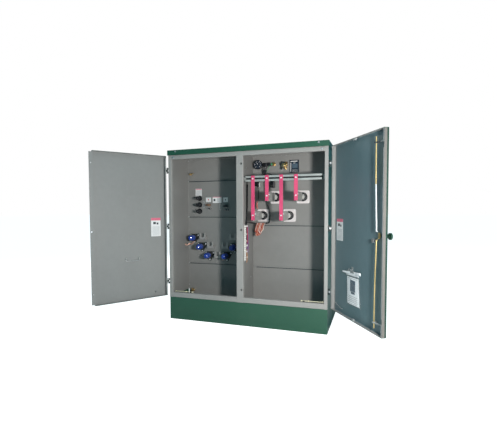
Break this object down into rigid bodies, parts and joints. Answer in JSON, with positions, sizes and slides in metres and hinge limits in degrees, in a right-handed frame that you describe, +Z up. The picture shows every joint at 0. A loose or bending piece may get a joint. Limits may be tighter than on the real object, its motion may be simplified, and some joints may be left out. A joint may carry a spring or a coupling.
{
  "type": "pad-mounted transformer",
  "caption": "Pad-mounted distribution transformer with a dead-front cable cabinet, hinged doors standing open, and a liquid-filled tank behind.",
  "frame": {"origin": "centre of the tank base's bottom face, on the pad", "axes": "+Z up, -Y out of the cabinet doors, +X to the right when facing the doors"},
  "size_m": [2.7718, 2.4007, 1.887],
  "materials": {
    "green_paint": "satin baked enamel",
    "grey_paint": "satin primer grey",
    "dark_paint": "satin",
    "zinc": "zinc plated",
    "gold_zinc": "yellow passivated",
    "copper": "bare copper",
    "aluminium_bar": "tinned",
    "black_mould": "moulded rubber and plastic",
    "blue_cap": "moulded",
    "pink_board": "glass laminate",
    "clamp_white": "satin",
    "winding": "paper and wire",
    "core_steel": "laminated",
    "clear_bag": "thin film",
    "strip_white": "moulded"
  },
  "bodies": {
    "unit": {"cabinet_roof": "green_paint", "cabinet_side_left": "green_paint", "cabinet_side_right": "green_paint", "door_frame": "grey_paint", "base_sill": "green_paint", "compartment_barrier": "grey_paint", "cabinet_bolts": "zinc", "tank_body": "green_paint", "tank_cover": "green_paint", "cooling_panels": "green_paint", "core": "core_steel", "core_clamps": "dark_paint", "coils": "winding", "inner_leads": "copper", "frame_hinges": "dark_paint", "stay_clips": "zinc", "hv_bushings": "black_mould", "hv_clamp_plates": "dark_paint", "hv_caps": "blue_cap", "parking_stands": "grey_paint", "fuse_housings": "black_mould", "switch_plates": "zinc", "earth_strap": "copper", "wall_fittings": "gold_zinc", "drain_valve": "gold_zinc", "lv_flange_plates": "clamp_white", "lv_insulators": "black_mould", "lv_spades": "aluminium_bar", "support_straps": "pink_board", "support_rail": "zinc", "bushing_fasteners": "zinc", "dial_gauge": "black_mould", "nameplate": "dark_paint", "relief_valve": "gold_zinc", "terminal_strip": "strip_white", "wiring_harness": "black_mould"},
    "left_door_body": {"left_door": "green_paint", "left_door_hinges": "dark_paint", "left_door_bail": "zinc"},
    "captive_upper_body": {"captive_bolt_upper": "zinc"},
    "captive_lower_body": {"captive_bolt_lower": "zinc"},
    "right_door_body": {"right_door": "green_paint", "right_door_channel": "grey_paint", "right_door_hinges": "zinc", "door_brackets": "zinc", "instruction_bag": "clear_bag"},
    "latch_body": {"latch_handle": "green_paint", "latch_cam": "gold_zinc"},
    "latch_rod_upper_body": {"latch_rod_upper": "gold_zinc"},
    "latch_rod_lower_body": {"latch_rod_lower": "gold_zinc"},
    "security_bolt_body": {"security_bolt": "zinc"},
    "stay_left_body": {"stay_rod_left": "gold_zinc"},
    "stay_right_body": {"stay_rod_right": "gold_zinc"},
    "fuse_puller_1_body": {"fuse_puller_1": "black_mould"},
    "fuse_puller_2_body": {"fuse_puller_2": "black_mould"},
    "fuse_puller_3_body": {"fuse_puller_3": "black_mould"},
    "switch_handle_1_body": {"switch_handle_1": "copper"},
    "switch_handle_2_body": {"switch_handle_2": "black_mould"},
    "drain_handle_body": {"drain_handle": "gold_zinc"},
    "relief_ring_body": {"relief_ring": "zinc"}
  },
  "joints": [
    {"name": "left_door_swing", "type": "hinge", "parent": "unit", "child": "left_door_body", "pos_m": [-0.879, -0.947, 0], "axis": [0, 0, 1], "range_deg": [-18, 122]},
    {"name": "right_door_swing", "type": "hinge", "parent": "unit", "child": "right_door_body", "pos_m": [0.879, -0.947, 0], "axis": [0, 0, 1], "range_deg": [-119.5, 20]},
    {"name": "captive_bolt_upper_slide", "type": "slide", "parent": "left_door_body", "child": "captive_upper_body", "axis": [-0.848, 0.5299, 0], "range_m": [0, 0.008]},
    {"name": "captive_bolt_lower_slide", "type": "slide", "parent": "left_door_body", "child": "captive_lower_body", "axis": [-0.848, 0.5299, 0], "range_m": [0, 0.008]},
    {"name": "latch_turn", "type": "hinge", "parent": "right_door_body", "child": "latch_body", "pos_m": [1.3257, -1.63297, 1.025], "axis": [0.8704, 0.4924, 0], "range_deg": [0, 90]},
    {"name": "latch_rod_upper_slide", "type": "slide", "parent": "right_door_body", "child": "latch_rod_upper_body", "axis": [0, 0, -1], "range_m": [0, 0.0181]},
    {"name": "latch_rod_lower_slide", "type": "slide", "parent": "right_door_body", "child": "latch_rod_lower_body", "axis": [0, 0, 1], "range_m": [0, 0.0181]},
    {"name": "security_bolt_turn", "type": "hinge", "parent": "right_door_body", "child": "security_bolt_body", "pos_m": [1.28827, -1.56682, 0.983], "axis": [0.8704, 0.4924, 0], "range_deg": [0, 360]},
    {"name": "stay_rod_left_lift", "type": "hinge", "parent": "unit", "child": "stay_left_body", "pos_m": [-0.797, -0.931, 0.313], "axis": [0, -1, 0], "range_deg": [0, 75]},
    {"name": "stay_rod_right_lift", "type": "hinge", "parent": "unit", "child": "stay_right_body", "pos_m": [0.815, -0.931, 0.313], "axis": [0, 1, 0], "range_deg": [0, 75]},
    {"name": "fuse_puller_1_slide", "type": "slide", "parent": "unit", "child": "fuse_puller_1_body", "axis": [0, -1, 0], "range_m": [0, 0.25]},
    {"name": "fuse_puller_2_slide", "type": "slide", "parent": "unit", "child": "fuse_puller_2_body", "axis": [0, -1, 0], "range_m": [0, 0.25]},
    {"name": "fuse_puller_3_slide", "type": "slide", "parent": "unit", "child": "fuse_puller_3_body", "axis": [0, -1, 0], "range_m": [0, 0.25]},
    {"name": "switch_handle_1_turn", "type": "hinge", "parent": "unit", "child": "switch_handle_1_body", "pos_m": [-0.577, -0.493, 1.282], "axis": [0, 1, 0], "range_deg": [0, 90]},
    {"name": "switch_handle_2_turn", "type": "hinge", "parent": "unit", "child": "switch_handle_2_body", "pos_m": [-0.356, -0.493, 1.267], "axis": [0, 1, 0], "range_deg": [0, 90]},
    {"name": "drain_handle_turn", "type": "hinge", "parent": "unit", "child": "drain_handle_body", "pos_m": [-0.798, -0.479, 0.24], "axis": [0, 0, 1], "range_deg": [0, 90]},
    {"name": "relief_ring_pull", "type": "slide", "parent": "unit", "child": "relief_ring_body", "axis": [0, -1, 0], "range_m": [0, 0.012]}
  ],
  "couplings": [
    {"joint": "latch_rod_upper_slide", "follows": "latch_turn", "m_per_rad": 0.011459},
    {"joint": "latch_rod_lower_slide", "follows": "latch_turn", "m_per_rad": 0.011459}
  ]
}
